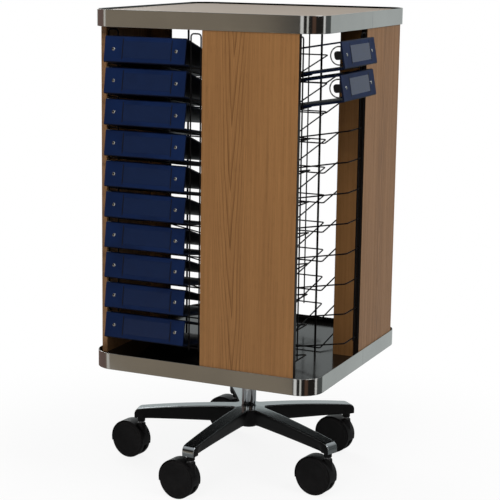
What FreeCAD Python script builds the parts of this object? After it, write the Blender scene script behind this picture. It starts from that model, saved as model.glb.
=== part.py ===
import FreeCAD, Part
import os
import re

import Sketcher
from FreeCAD import Vector

# A revolving chart rack: a square carousel of four bays on a chrome column and a five-star base.
# Millimetres, +Z up, the floor at z = 0. The origin is the middle of the footprint on the floor.
#
# The carousel is a pinwheel: each of its four sides, seen from outside, has an open bay on its left
# half and an oak panel on its right half. One quarter is drawn as "quarter b", whose side faces +X,
# and the other three are that quarter turned about the column.

SIZES = {
    # where the column stands in the footprint, which the trailing casters make lopsided
    "axis_x": 17,
    "axis_y": 9,
    # casters
    "wheel_radius": 54,
    "wheel_width": 14,
    "wheel_gap": 0.5,
    "hood_radius": 56.5,
    "hood_wall": 1.5,
    "hood_web": 12,
    "hood_skirt": 12,
    "axle_radius": 4,
    "neck_half": 12,
    "neck_foot": 17,
    "neck_foot_rise": 16,
    "neck_gap": 4.5,
    "stem_radius": 6,
    "stem_depth": 26,
    "trail": 37,
    "trail_angle": 172,
    # five-star base: one arm, from its root under the hub to its end over the caster
    "arm_count": 5,
    "arm_angle": -95,
    "arm_reach": 318,
    "arm_tip": 17,
    "arm_root": 20,
    "arm_root_top": 184.3,
    "arm_root_under": 132,
    "arm_knee": 230,
    "arm_knee_top": 167.2,
    "arm_knee_under": 126,
    "arm_wrist": 290,
    "arm_wrist_top": 159.2,
    "arm_wrist_under": 123.5,
    "arm_end_top": 153,
    "arm_end_under": 125,
    "arm_root_width": 42,
    "arm_root_keel": 6,
    "arm_end_width": 36.4,
    "arm_nose": 16,
    "socket_radius": 11,
    "socket_under": 112,
    "hub_under": 125,
    "hub_foot_radius": 26,
    "web_radius": 46,
    "web_under": 160,
    "web_top": 180,
    "hub_radius": 30,
    "hub_top": 186,
    # column and swivel bearing
    "column_radius": 20.5,
    "column_wall": 2.5,
    "column_seat": 16,
    "flange_side": 120,
    "flange_thick": 9,
    "pin_radius": 12,
    "plug_length": 30,
    "cap_side": 176,
    "cap_corner": 12,
    "cap_thick": 6,
    # decks and their bands
    "band_bottom": 337,
    "rack_height": 972,
    "deck_side": 660,
    "deck_corner": 61.5,
    "band_height": 45,
    "band_wall": 1.5,
    "band_lip": 5,
    "board_thick": 25,
    # oak panels and the return boards behind them
    "panel_inset": 2.5,
    "panel_thick": 16,
    "panel_edge": 1,
    "fin_depth": 60,
    "fin_thick": 16,
    # wire racks
    "wire_radius": 2,
    "rod_radius": 3,
    "hairpin_gap": 28.5,
    "hairpin_corner": 8,
    "hairpin_side_gap": 2.5,
    "hairpin_front": 323,
    "hairpin_back": 260,
    "hairpin_rise": 88,
    "hairpin_drop": 5,
    "shelf_rear": 20,
    "shelf_near": 93,
    "shelf_far": 206,
    "rod_inset": 13,
    "shelf_count": 10,
    "shelf_headroom": 113,
    "shelf_footroom": 58.75,
    "shelf_tilt": 10,
    # binders
    "binder_width": 236,
    "binder_depth": 324,
    "binder_headroom": 11,
    "binder_wall": 4.5,
    "binder_fold": 3,
    "binder_corner": 12,
    "label_width": 138,
    "label_height": 44,
    "label_shift": 7,
    "label_depth": 0.8,
    "ring_strip_length": 201,
    "ring_strip_width": 18,
    "ring_strip_thick": 1.2,
    "binder_ring_room": 5.5,
    "binder_ring_wire": 3,
    "binder_ring_span": 140,
    "binder_pull": 22,
    # fits
    "running_fit": 0.05,
    "rest_gap": 0.3,
}

CLOSE = 1e-3
WIRE_SIDES = 6
RING_SIDES = 10
FENDER_SIDES = 16
WHEEL_SIDES = 40
SOCKET_SIDES = 12
QUARTERS = "abcd"
FULL_BAY_BINDERS = 10
SIDE_BAY_BINDERS = 2

doc = FreeCAD.newDocument("chart_rack")
sheet = doc.addObject("Spreadsheet::Sheet", "Sizes")
for row, (alias, size) in enumerate(SIZES.items(), 1):
    sheet.set(f"A{row}", alias)
    sheet.set(f"B{row}", str(size))
    sheet.setAlias(f"B{row}", alias)
doc.recompute()

# Sizes that follow from the driving ones, written as expressions on the sheet.
DERIVED = {
    "half": "(deck_side / 2)",
    "board_half": "(deck_side / 2 - band_wall)",
    "board_corner": "(deck_corner - band_wall)",
    "panel_end": "(deck_side / 2 - deck_corner)",
    "panel_out": "(deck_side / 2 - panel_inset)",
    "panel_in": "(deck_side / 2 - panel_inset - panel_thick)",
    "deck_under": "(band_bottom + band_lip)",
    "deck_floor": "(band_bottom + band_lip + board_thick)",
    "rack_top": "(band_bottom + rack_height)",
    "top_under": "(band_bottom + rack_height - band_lip - board_thick)",
    "clear_height": "(rack_height - 2 * (band_lip + board_thick))",
    "flange_top": "(band_bottom + band_lip - cap_thick - rest_gap)",
    "column_top": "(band_bottom + band_lip - cap_thick - rest_gap - flange_thick)",
    "caster_width": "(hood_web + 2 * (wheel_gap + wheel_width))",
    "neck_top": "(socket_under - neck_gap)",
    "shelf_front": "(hairpin_front - 2 * wire_radius - running_fit)",
    "shelf_outer": "(hairpin_back - 2 * wire_radius - running_fit)",
    "near_leg": "(wire_radius + hairpin_side_gap)",
    "far_leg": "(deck_side / 2 - panel_inset - panel_thick - wire_radius - rest_gap)",
    "rod_line": "(shelf_rear - wire_radius - rod_radius - running_fit)",
    "shelf_first": "(band_bottom + rack_height - band_lip - board_thick - shelf_headroom)",
    "shelf_pitch": "((rack_height - 2 * (band_lip + board_thick) - shelf_headroom - shelf_footroom)"
    " / (shelf_count - 1))",
    "binder_height": "(shelf_pitch * cos(shelf_tilt) - binder_headroom)",
    "binder_ring_radius": "(binder_height / 2 - binder_wall - binder_ring_room)",
    "binder_middle": "((wire_radius + hairpin_side_gap + deck_side / 2 - panel_inset"
    " - panel_thick - wire_radius - rest_gap) / 2)",
    "binder_stop": "(shelf_rear - wire_radius + rest_gap - running_fit"
    " + binder_height * sin(shelf_tilt))",
}

WORD = re.compile(r"[a-z][a-z_]*")


def ref(text):
    """The expression on the sheet that a text of size names stands for."""

    def swap(match):
        word = match.group()
        if word in DERIVED:
            return ref(DERIVED[word])
        return f"Sizes.{word}" if word in SIZES else word

    return WORD.sub(swap, str(text))


def num(text):
    """The present value of such an expression."""
    return float(sheet.evalExpression(ref(text)))


def bind(thing, **expressions):
    for prop, text in expressions.items():
        thing.setExpression(prop, ref(text))


# ---------------------------------------------------------------- sketches and features


def new_body(label):
    body = doc.addObject("PartDesign::Body", label)
    body.Label = label
    return body


def sketch_on(body, plane, name, lift=0):
    """An empty sketch on one of the body's origin planes, lifted along the plane's normal."""
    sketch = body.newObject("Sketcher::SketchObject", name)
    support = next(f for f in body.Origin.OriginFeatures if f.Role == plane)
    sketch.AttachmentSupport = (support, [""])
    sketch.MapMode = "FlatFace"
    sketch.setExpression("AttachmentOffset.Base.z", ref(lift))
    return sketch


def pin_point(sketch, edge, end, x, y):
    """Dimensions that hold one point of an edge at x, y."""
    for kind, text in (("DistanceX", x), ("DistanceY", y)):
        index = sketch.addConstraint(Sketcher.Constraint(kind, edge, end, num(text)))
        sketch.setExpression(f"Constraints[{index}]", ref(text))


def outline(sketch, points):
    """A closed outline of straight edges, each corner dimensioned."""
    first = sketch.GeometryCount
    count = len(points)
    places = [Vector(num(x), num(y), 0) for x, y in points]
    for k in range(count):
        sketch.addGeometry(Part.LineSegment(places[k], places[(k + 1) % count]), False)
    for k in range(count):
        after = first + (k + 1) % count
        sketch.addConstraint(Sketcher.Constraint("Coincident", first + k, 2, after, 1))
    for k, (x, y) in enumerate(points):
        pin_point(sketch, first + k, 1, x, y)


def rectangle(sketch, x0, y0, x1, y1):
    outline(sketch, [(x0, y0), (x1, y0), (x1, y1), (x0, y1)])


def rounded_square(sketch, half_side, corner):
    """A square about the origin whose four corners are arcs tangent to its sides."""
    first = sketch.GeometryCount
    middle = num(half_side) - num(corner)
    radius = num(corner)
    for k in range(4):
        turn = FreeCAD.Rotation(Vector(0, 0, 1), 90 * k)
        start = turn.multVec(Vector(middle + radius, -middle, 0))
        end = turn.multVec(Vector(middle + radius, middle, 0))
        round_end = turn.multVec(Vector(middle, middle + radius, 0))
        centre = turn.multVec(Vector(middle, middle, 0))
        half_way = centre + (end + round_end - centre * 2).normalize() * radius
        sketch.addGeometry(Part.LineSegment(start, end), False)
        sketch.addGeometry(Part.Arc(end, half_way, round_end), False)
    inset = f"({half_side} - {corner})"
    for k, (x, y) in enumerate(((1, 1), (-1, 1), (-1, -1), (1, -1))):
        line = first + 2 * k
        arc = line + 1
        after = first + (2 * k + 2) % 8
        sketch.addConstraint(Sketcher.Constraint("Tangent", line, 2, arc, 1))
        sketch.addConstraint(Sketcher.Constraint("Tangent", arc, 2, after, 1))
        pin_point(sketch, arc, 3, f"{x} * {inset}", f"{y} * {inset}")
        rule = sketch.addConstraint(Sketcher.Constraint("Radius", arc, radius))
        sketch.setExpression(f"Constraints[{rule}]", ref(corner))


def regular(sides, x, y, radius):
    """Corners of a regular outline with one corner straight below its middle."""
    angles = [360 * k / sides - 90 for k in range(sides)]
    return [(f"{x} + {radius} * cos({a})", f"{y} + {radius} * sin({a})") for a in angles]


def circle(sketch, x, y, radius):
    index = sketch.addGeometry(
        Part.Circle(Vector(num(x), num(y), 0), Vector(0, 0, 1), num(radius)), False
    )
    pin_point(sketch, index, 3, x, y)
    rule = sketch.addConstraint(Sketcher.Constraint("Radius", index, num(radius)))
    sketch.setExpression(f"Constraints[{rule}]", ref(radius))


def pad(body, sketch, length, both=False, back=False):
    feature = body.newObject("PartDesign::Pad", sketch.Name + "_pad")
    feature.Profile = sketch
    feature.Midplane = both
    feature.Reversed = back
    bind(feature, Length=length)
    sketch.Visibility = False
    return feature


def pocket(body, sketch, length=None, both=False, back=False):
    """A cut of the given depth, or right through where no depth is given."""
    feature = body.newObject("PartDesign::Pocket", sketch.Name + "_cut")
    feature.Profile = sketch
    feature.Midplane = both
    feature.Reversed = back
    if length is None:
        feature.Type = "ThroughAll"
    else:
        bind(feature, Length=length)
    return feature


def revolve(body, sketch, axis="V_Axis"):
    feature = body.newObject("PartDesign::Revolution", sketch.Name + "_turn")
    feature.Profile = sketch
    feature.ReferenceAxis = (sketch, [axis])
    feature.Angle = 360
    return feature


def edges_where(feature, test):
    """Names of the feature's edges that pass the test."""
    doc.recompute()
    return [f"Edge{n}" for n, e in enumerate(feature.Shape.Edges, 1) if test(e)]


def fillet(body, feature, radius, test):
    rounded = body.newObject("PartDesign::Fillet", feature.Name + "_round")
    rounded.Base = (feature, edges_where(feature, test))
    bind(rounded, Radius=radius)
    return rounded


def chamfer(body, feature, size, test):
    eased = body.newObject("PartDesign::Chamfer", feature.Name + "_ease")
    eased.Base = (feature, edges_where(feature, test))
    bind(eased, Size=size)
    return eased


def runs_along(edge, axis):
    """True where a straight edge is parallel to the axis."""
    if edge.Curve.TypeId != "Part::GeomLine":
        return False
    return abs(abs(edge.tangentAt(edge.FirstParameter).dot(axis)) - 1) < 1e-6


X, Y, Z = Vector(1, 0, 0), Vector(0, 1, 0), Vector(0, 0, 1)


def quarter_turn(letter):
    """Turn of a quarter about the column: quarter b is the one drawn."""
    return 90 * (QUARTERS.index(letter) - 1)


def place(thing, x="0", y="0", z="0", turn="0", spin="0", tilt="0"):
    """Stands a piece in the rack.

    x, y and z are its origin about the column's foot before the turn about the column. Its own frame
    is first tilted about Y, which lifts +X, then spun about Z, and then turned with its quarter.
    """
    east = f"axis_x + ({x}) * cos({turn}) - ({y}) * sin({turn})"
    north = f"axis_y + ({x}) * sin({turn}) + ({y}) * cos({turn})"
    base = f"create(<<vector>>; {east}; {north}; {z})"
    yaw = f"create(<<rotation>>; create(<<vector>>; 0; 0; 1); {turn} + {spin})"
    pitch = f"create(<<rotation>>; create(<<vector>>; 0; 1; 0); 0 - ({tilt}))"
    thing.setExpression("Placement", ref(f"create(<<placement>>; {base}; {yaw} * {pitch})"))


# ---------------------------------------------------------------- five-star base


def origin_axis(body, role):
    return next(f for f in body.Origin.OriginFeatures if f.Role == role)


def arm_section(body, name, out, under, top):
    """A section across the first arm, its sides sloping in from the top face to the keel."""
    taper = "(arm_root_width - arm_end_width) / (arm_reach + arm_tip - arm_root)"
    width = f"(arm_root_width - ({out} - arm_root) * {taper})"
    slope = "(arm_root_width - arm_root_keel) / (arm_root_top - arm_root_under)"
    keel = f"({width} - ({top} - {under}) * {slope})"
    sketch = sketch_on(body, "YZ_Plane", name, out)
    outline(
        sketch,
        [
            (f"-{keel} / 2", under),
            (f"{keel} / 2", under),
            (f"{width} / 2", top),
            (f"-{width} / 2", top),
        ],
    )
    return sketch


def build_star_base():
    """One lofted arm with its end block and socket, repeated round a turned hub, then bored."""
    body = new_body("star_base")
    end = "(arm_reach + arm_tip)"
    stations = [
        ("arm_root", "arm_root_under", "arm_root_top"),
        ("arm_knee", "arm_knee_under", "arm_knee_top"),
        ("arm_wrist", "arm_wrist_under", "arm_wrist_top"),
        (end, "arm_end_under", "arm_end_top"),
    ]
    sections = [arm_section(body, f"arm_section_{n}", *row) for n, row in enumerate(stations, 1)]
    arm = body.newObject("PartDesign::AdditiveLoft", "arm")
    arm.Profile = sections[0]
    arm.Sections = sections[1:]
    arm.Ruled = True
    block_face = sketch_on(body, "YZ_Plane", "block_face", end)
    rectangle(block_face, "-arm_end_width / 2", "arm_end_under", "arm_end_width / 2", "arm_end_top")
    block = pad(body, block_face, "arm_tip", back=True)
    socket_plan = sketch_on(body, "XY_Plane", "socket_plan", "socket_under")
    outline(socket_plan, regular(SOCKET_SIDES, "arm_reach", "0", "socket_radius"))
    socket = pad(body, socket_plan, "(arm_end_under + arm_end_top) / 2 - socket_under")
    star = body.newObject("PartDesign::PolarPattern", "star")
    star.Originals = [arm, block, socket]
    star.Axis = (origin_axis(body, "Z_Axis"), [""])
    star.Angle = 360
    bind(star, Occurrences="arm_count")
    body.Tip = star

    hub = sketch_on(body, "XZ_Plane", "hub_profile")
    outline(
        hub,
        [
            ("0", "hub_under"),
            ("hub_foot_radius", "hub_under"),
            ("web_radius", "web_under"),
            ("web_radius", "web_top"),
            ("hub_radius", "web_top"),
            ("hub_radius", "hub_top"),
            ("0", "hub_top"),
        ],
    )
    revolve(body, hub)
    bores = sketch_on(body, "XY_Plane", "stem_bores", "socket_under")
    for k in range(int(num("arm_count"))):
        along = f"({k} * 360 / arm_count)"
        circle(bores, f"arm_reach * cos({along})", f"arm_reach * sin({along})", "stem_radius + running_fit")
    pocket(body, bores, "stem_depth", back=True)
    column_bore = sketch_on(body, "XY_Plane", "column_bore", "hub_under")
    circle(column_bore, "0", "0", "column_radius + running_fit")
    bored = pocket(body, column_bore, "hub_top - hub_under", back=True)

    def nose(edge):
        at = edge.CenterOfMass
        at_end = abs((at.x**2 + at.y**2) ** 0.5 - num(end)) < CLOSE
        return at_end and abs(at.z - num("arm_end_top")) < CLOSE

    fillet(body, bored, "arm_nose", nose)
    place(body, turn="arm_angle")


# ---------------------------------------------------------------- casters


def fender_arc(radius):
    """Corners of a many-sided arc over the axle, from skirt to skirt."""
    dip = "asin(hood_skirt / hood_radius)"
    points = []
    for k in range(FENDER_SIDES + 1):
        angle = f"({k} * (180 deg + 2 * {dip}) / {FENDER_SIDES} - {dip})"
        points.append((f"{radius} * cos({angle}) - trail", f"wheel_radius + {radius} * sin({angle})"))
    return points


def build_caster(number):
    """A hood with its web, neck and stem, and the two wheels on the axle through the web."""
    hood = new_body(f"caster_hood_{number}")
    fender = sketch_on(hood, "XZ_Plane", "fender")
    outline(fender, fender_arc("hood_radius"))
    pad(hood, fender, "caster_width", both=True)
    neck = sketch_on(hood, "XZ_Plane", "neck")
    outline(
        neck,
        [
            ("-neck_half", "neck_top"),
            ("-trail", "wheel_radius"),
            ("neck_foot", "wheel_radius"),
            ("neck_foot", "wheel_radius + neck_foot_rise"),
            ("neck_half", "neck_top"),
        ],
    )
    pad(hood, neck, "2 * neck_half", both=True)
    room_arc = fender_arc("(hood_radius - hood_wall)")
    inside = "(hood_radius - hood_wall) * cos(asin(hood_skirt / hood_radius))"
    below = "wheel_radius - hood_skirt - hood_wall"
    for side, name in ((1, "left"), (-1, "right")):
        room = sketch_on(hood, "XZ_Plane", f"room_{name}", f"{side} * hood_web / 2")
        outline(room, room_arc + [(f"0 - trail - {inside}", below), (f"{inside} - trail", below)])
        pocket(hood, room, "caster_width", back=side > 0)
    stem = sketch_on(hood, "XY_Plane", "stem", "neck_top")
    circle(stem, "0", "0", "stem_radius")
    pad(hood, stem, "neck_gap + stem_depth - rest_gap")
    bore = sketch_on(hood, "XZ_Plane", "axle_bore")
    circle(bore, "-trail", "wheel_radius", "axle_radius + running_fit")
    pocket(hood, bore, "2 * hood_web", both=True)

    wheels = new_body(f"caster_wheels_{number}")
    axle = sketch_on(wheels, "XZ_Plane", "axle")
    circle(axle, "0", "0", "axle_radius")
    pad(wheels, axle, "hood_web + 2 * wheel_gap", both=True)
    for side, name in ((1, "left"), (-1, "right")):
        wheel = sketch_on(wheels, "XZ_Plane", f"wheel_{name}", f"{side} * (hood_web / 2 + wheel_gap)")
        outline(wheel, regular(WHEEL_SIDES, "0", "0", "wheel_radius"))
        pad(wheels, wheel, "wheel_width", back=side < 0)

    along = f"(arm_angle + {number - 1} * 360 / arm_count)"
    stem_x = f"arm_reach * cos({along})"
    stem_y = f"arm_reach * sin({along})"
    place(hood, stem_x, stem_y, "0", spin="trail_angle - 180")
    place(
        wheels,
        f"{stem_x} + trail * cos(trail_angle)",
        f"{stem_y} + trail * sin(trail_angle)",
        "wheel_radius",
        spin="trail_angle - 180",
    )


# ---------------------------------------------------------------- column and swivel bearing


def build_column():
    body = new_body("column")
    tube = sketch_on(body, "XY_Plane", "tube", "hub_under + column_seat")
    circle(tube, "0", "0", "column_radius")
    circle(tube, "0", "0", "column_radius - column_wall")
    pad(body, tube, "column_top - hub_under - column_seat")
    place(body)


def build_bearing():
    """A flange with its plug and king pin, and the plate under the deck that turns on them."""
    base = new_body("bearing_base")
    plug = sketch_on(base, "XY_Plane", "plug", "column_top")
    circle(plug, "0", "0", "column_radius - column_wall - running_fit")
    pad(base, plug, "plug_length", back=True)
    flange = sketch_on(base, "XY_Plane", "flange", "column_top")
    rectangle(flange, "-flange_side / 2", "-flange_side / 2", "flange_side / 2", "flange_side / 2")
    pad(base, flange, "flange_thick")
    pin = sketch_on(base, "XY_Plane", "pin", "flange_top")
    circle(pin, "0", "0", "pin_radius")
    pad(base, pin, "deck_under - rest_gap - flange_top")
    place(base)

    cap = new_body("bearing_cap")
    plate = sketch_on(cap, "XY_Plane", "plate", "deck_under - cap_thick")
    rectangle(plate, "-cap_side / 2", "-cap_side / 2", "cap_side / 2", "cap_side / 2")
    circle(plate, "0", "0", "pin_radius + running_fit")
    flat = pad(cap, plate, "cap_thick")
    chamfer(
        cap, flat, "cap_corner", lambda e: runs_along(e, Z) and e.CenterOfMass.Length > num("cap_side") / 2
    )
    place(cap)


# ---------------------------------------------------------------- decks, bands and boards


def build_deck(name, bottom):
    body = new_body(name)
    plan = sketch_on(body, "XY_Plane", "board", bottom)
    rounded_square(plan, "board_half", "board_corner")
    pad(body, plan, "board_thick")
    place(body)


def build_band(name, bottom):
    body = new_body(name)
    plan = sketch_on(body, "XY_Plane", "band", bottom)
    rounded_square(plan, "half", "deck_corner")
    rounded_square(plan, "board_half", "board_corner")
    pad(body, plan, "band_height")
    place(body)


def build_board(name, turn, x0, y0, x1, y1):
    """An upright oak board from deck to deck with eased edges."""
    body = new_body(name)
    plan = sketch_on(body, "XY_Plane", "section", "deck_floor")
    rectangle(plan, x0, y0, x1, y1)
    board = pad(body, plan, "clear_height")
    chamfer(body, board, "panel_edge", lambda e: runs_along(e, Z))
    place(body, turn=str(turn))


# ---------------------------------------------------------------- wire racks


def bent_wire(points, radius):
    """A wire of many flats swept along straight runs with mitred bends."""
    path = Part.makePolygon(points)
    run = (points[1] - points[0]).normalize()
    across = run.cross(Vector(0, 0, 1) if abs(run.z) < 0.5 else Vector(1, 0, 0)).normalize()
    rim = []
    for k in range(WIRE_SIDES + 1):
        turn = FreeCAD.Rotation(run, 360 * (k + 0.5) / WIRE_SIDES)
        rim.append(points[0] + turn.multVec(across) * radius)
    return path.makePipeShell([Part.makePolygon(rim)], True, False, 1).removeSplitter()


def shelf_wire(front_z):
    """One shelf of quarter b: behind the near hairpin, in, across, out, behind the far hairpin."""
    rise = num("tan(shelf_tilt)")
    front, outer, rear = num("shelf_front"), num("shelf_outer"), num("shelf_rear")
    near, far = -num("shelf_near"), -num("shelf_far")

    def at(x, y):
        return Vector(x, y, front_z - (front - x) * rise)

    return bent_wire(
        [
            at(front, -num("near_leg")),
            at(front, near),
            at(rear, near),
            at(rear, far),
            at(outer, far),
            at(outer, -num("far_leg") + num("wire_radius")),
        ],
        num("wire_radius"),
    )


def hairpin(x, first_y, second_y, low, high):
    """An inverted U with clipped corners."""
    corner = num("hairpin_corner") * (1 if second_y > first_y else -1)
    drop = abs(corner)
    return bent_wire(
        [
            Vector(x, first_y, low),
            Vector(x, first_y, high - drop),
            Vector(x, first_y + corner, high),
            Vector(x, second_y - corner, high),
            Vector(x, second_y, high - drop),
            Vector(x, second_y, low),
        ],
        num("wire_radius"),
    )


def build_rack(letter, turn):
    """The wires of one bay, each its own solid, welded where they cross."""
    wires = []
    count = int(num("shelf_count"))
    top, pitch = num("shelf_first"), num("shelf_pitch")
    for k in range(count):
        wires.append(shelf_wire(top - k * pitch))
    low = top - (count - 1) * pitch - num("hairpin_drop")
    high = top + num("hairpin_rise")
    near, gap, far = num("near_leg"), num("hairpin_gap"), num("far_leg")
    wires.append(hairpin(num("hairpin_front"), -near - gap, -near, low, high))
    wires.append(hairpin(num("hairpin_back"), -far, -far + gap, low, high))
    for y in (-num("shelf_near") - num("rod_inset"), -num("shelf_far") + num("rod_inset")):
        foot = Vector(num("rod_line"), y, num("deck_floor"))
        wires.append(bent_wire([foot, foot + Z * num("clear_height")], num("rod_radius")))
    rack = doc.addObject("Part::Feature", f"wire_rack_{letter}")
    rack.Label = f"wire_rack_{letter}"
    rack.Shape = Part.makeCompound(wires)
    place(rack, turn=str(turn))


# ---------------------------------------------------------------- binders


def build_binder(number, turn, level, pull):
    """A moulded cover folded round a spine, and the ring strip fixed inside it.

    Both are drawn lying flat: +X from the free edges to the spine, Z up through the covers.
    """
    cover = new_body(f"binder_{number:02d}")
    fold = sketch_on(cover, "XZ_Plane", "fold")
    outline(
        fold,
        [
            ("0", "0"),
            ("binder_depth", "0"),
            ("binder_depth", "binder_height"),
            ("0", "binder_height"),
            ("0", "binder_height - binder_wall"),
            ("binder_depth - binder_wall", "binder_height - binder_wall"),
            ("binder_depth - binder_wall", "binder_wall"),
            ("0", "binder_wall"),
        ],
    )
    sheet_pad = pad(cover, fold, "binder_width", both=True)
    outer_folds = chamfer(
        cover,
        sheet_pad,
        "binder_fold",
        lambda e: runs_along(e, Y) and abs(e.CenterOfMass.x - num("binder_depth")) < CLOSE,
    )
    chamfer(
        cover,
        outer_folds,
        "binder_corner",
        lambda e: runs_along(e, Z) and abs(e.CenterOfMass.x) < CLOSE,
    )
    label = sketch_on(cover, "YZ_Plane", "label", "binder_depth")
    rectangle(
        label,
        "label_shift - label_width / 2",
        "binder_height / 2 - label_height / 2",
        "label_shift + label_width / 2",
        "binder_height / 2 + label_height / 2",
    )
    pocket(cover, label, "label_depth")

    rings = new_body(f"rings_{number:02d}")
    inside = "(binder_depth - binder_wall)"
    strip = sketch_on(rings, "YZ_Plane", "strip", inside)
    rectangle(
        strip,
        "-ring_strip_length / 2",
        "binder_height / 2 - ring_strip_width / 2",
        "ring_strip_length / 2",
        "binder_height / 2 + ring_strip_width / 2",
    )
    pad(rings, strip, "ring_strip_thick", back=True)
    centre = f"({inside} - rest_gap - binder_ring_radius)"
    for name, side in (("left", ""), ("right", "-")):
        loop = sketch_on(rings, "XZ_Plane", f"loop_{name}", f"{side}binder_ring_span / 2")
        for radius in ("binder_ring_radius", "(binder_ring_radius - binder_ring_wire)"):
            outline(loop, regular(RING_SIDES, centre, "binder_height / 2", radius))
        pad(rings, loop, "binder_ring_wire", both=True)

    lift = "(wire_radius + rest_gap) / cos(shelf_tilt)"
    x = f"(binder_stop + {pull} * cos(shelf_tilt))"
    z = f"shelf_first - {level} * shelf_pitch + ({x} - shelf_front) * tan(shelf_tilt) + {lift}"
    for piece in (cover, rings):
        place(piece, x, "-binder_middle", z, turn=str(turn), tilt="shelf_tilt")


# ---------------------------------------------------------------- the rack


build_star_base()
for number in range(1, int(num("arm_count")) + 1):
    build_caster(number)
build_column()
build_bearing()
build_deck("bottom_deck", "deck_under")
build_deck("top_deck", "top_under")
build_band("bottom_band", "band_bottom")
build_band("top_band", "rack_top - band_height")
for letter in QUARTERS:
    turn = quarter_turn(letter)
    build_board(f"panel_{letter}", turn, "panel_in", "0", "panel_out", "panel_end")
    build_board(f"fin_{letter}", turn, "panel_in - fin_depth", "0", "panel_in", "fin_thick")
    build_rack(letter, turn)
for level in range(FULL_BAY_BINDERS):
    build_binder(level + 1, quarter_turn("a"), level, "0")
for level in range(SIDE_BAY_BINDERS):
    build_binder(FULL_BAY_BINDERS + level + 1, quarter_turn("b"), level, "binder_pull")
doc.recompute()

faults = [o.Name for o in doc.Objects if "Invalid" in o.State or "Error" in o.State]
nodes = [o for o in doc.Objects if o.TypeId in ("PartDesign::Body", "Part::Feature") and o.InList == []]
for node in nodes:
    if node.Shape.isNull() or not node.Shape.isValid() or not node.Shape.Solids:
        faults.append(node.Label)
if faults:
    raise RuntimeError(f"failed objects: {faults}")

os.makedirs("parts", exist_ok=True)
for node in nodes:
    node.Shape.exportStep(os.path.join("parts", f"{node.Label}.step"))
print(len(nodes), "nodes")
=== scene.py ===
import bmesh
import bpy
import numpy as np
from mathutils import Matrix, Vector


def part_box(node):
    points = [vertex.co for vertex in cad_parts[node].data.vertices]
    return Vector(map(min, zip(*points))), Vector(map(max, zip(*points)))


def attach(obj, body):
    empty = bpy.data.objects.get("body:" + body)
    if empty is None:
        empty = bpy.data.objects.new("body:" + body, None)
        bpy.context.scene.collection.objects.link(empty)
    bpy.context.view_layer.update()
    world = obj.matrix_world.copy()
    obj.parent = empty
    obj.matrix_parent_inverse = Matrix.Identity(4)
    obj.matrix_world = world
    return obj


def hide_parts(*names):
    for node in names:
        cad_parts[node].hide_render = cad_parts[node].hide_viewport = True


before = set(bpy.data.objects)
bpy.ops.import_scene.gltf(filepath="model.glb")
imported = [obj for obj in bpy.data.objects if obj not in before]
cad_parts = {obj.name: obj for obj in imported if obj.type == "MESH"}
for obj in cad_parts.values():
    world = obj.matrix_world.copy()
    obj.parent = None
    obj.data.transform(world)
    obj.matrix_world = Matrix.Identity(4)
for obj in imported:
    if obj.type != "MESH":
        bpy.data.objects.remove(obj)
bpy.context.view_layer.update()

bl_info = {
    "name": "Revolving Chart Rack",
    "version": (1, 0, 0),
    "blender": (4, 5, 0),
    "location": "3D View > Sidebar > Chart Rack",
    "description": "Dresses a revolving chart rack: oak, steel bands, wire racks, charts, casters",
    "category": "Add Mesh",
}


# ------------ shared sizes, metres


def middle_of(node):
    """The middle of a CAD node's box."""
    low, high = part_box(node)
    return [(low[k] + high[k]) / 2 for k in range(3)]


AXIS_X, AXIS_Y = middle_of("column")[:2]
DECK_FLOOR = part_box("bottom_deck")[1][2]
TOP_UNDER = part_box("top_deck")[0][2]
TOP_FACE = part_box("top_deck")[1][2]
BAND_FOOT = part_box("bottom_band")[0][2]
BAND_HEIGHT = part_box("bottom_band")[1][2] - BAND_FOOT
TOP_BAND_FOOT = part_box("top_band")[0][2]
HALF_SIDE = (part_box("top_band")[1][0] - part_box("top_band")[0][0]) / 2
BAND_CORNER = 0.0615
BAND_WALL = 0.0015
BAND_EDGE = 0.0007
SEAM_SHIFT = 0.030
QUARTERS = {"a": -90, "b": 0, "c": 90, "d": 180}
REST_GAP = 0.0003

# A bay's wires, in quarter b with the column's foot as origin
SHELVES = 10
WIRE = 0.002
WIRE_BEND = 0.006
ROD = 0.003
SHELF_REAR = 0.020
SHELF_NEAR = 0.093
SHELF_FAR = 0.206
SHELF_OUTER = 0.25595
SHELF_FRONT = 0.31895
NEAR_LEG = 0.0045
FAR_LEG = 0.3092
HAIRPIN_GAP = 0.0285
HAIRPIN_BEND = 0.008
HAIRPIN_DROP = 0.005
HAIRPIN_RISE = 0.088
HAIRPIN_FRONT = 0.323
HAIRPIN_BACK = 0.260
ROD_LINE = 0.01495
ROD_SIDES = (0.106, 0.193)
SHELF_TOP = 1.166
SHELF_PITCH = 0.08225
SHELF_TILT = np.radians(10)

# Charts. CHART_SAG is how far each upper cover of the full bay hangs down at its free edge.
CHARTS = 12
FULL_BAY = 10
CHART_WIDTH = 0.236
CHART_DEPTH = 0.324
CHART_HEIGHT = SHELF_PITCH * np.cos(SHELF_TILT) - 0.011
CHART_WALL = 0.0045
CHART_CORNER = 0.012
CHART_STOP = 0.01825 + CHART_HEIGHT * np.sin(SHELF_TILT)
CHART_MIDDLE = (NEAR_LEG + FAR_LEG) / 2
CHART_PULL = 0.022
CHART_SAG = (0.050, 0.050, 0.030, 0.053, 0.053, 0.046, 0.049, 0.046, 0.046, 0.036)
RING_RADIUS = CHART_HEIGHT / 2 - CHART_WALL - 0.0055
RING_WIRE = 0.0018
RING_SIDE = 0.070
STRIP_HALF = 0.0995
RIVET_SPAN = 0.183
RIVET = (0.0045, 0.00095)
LABEL_SHIFT = 0.007
LABEL_WIDTH = 0.138
LABEL_HEIGHT = 0.044
BEAD_GAP = 0.0022
BEAD_HALF = 0.0012
BEAD_ENDS = (0.0090, 0.0070)

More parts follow.
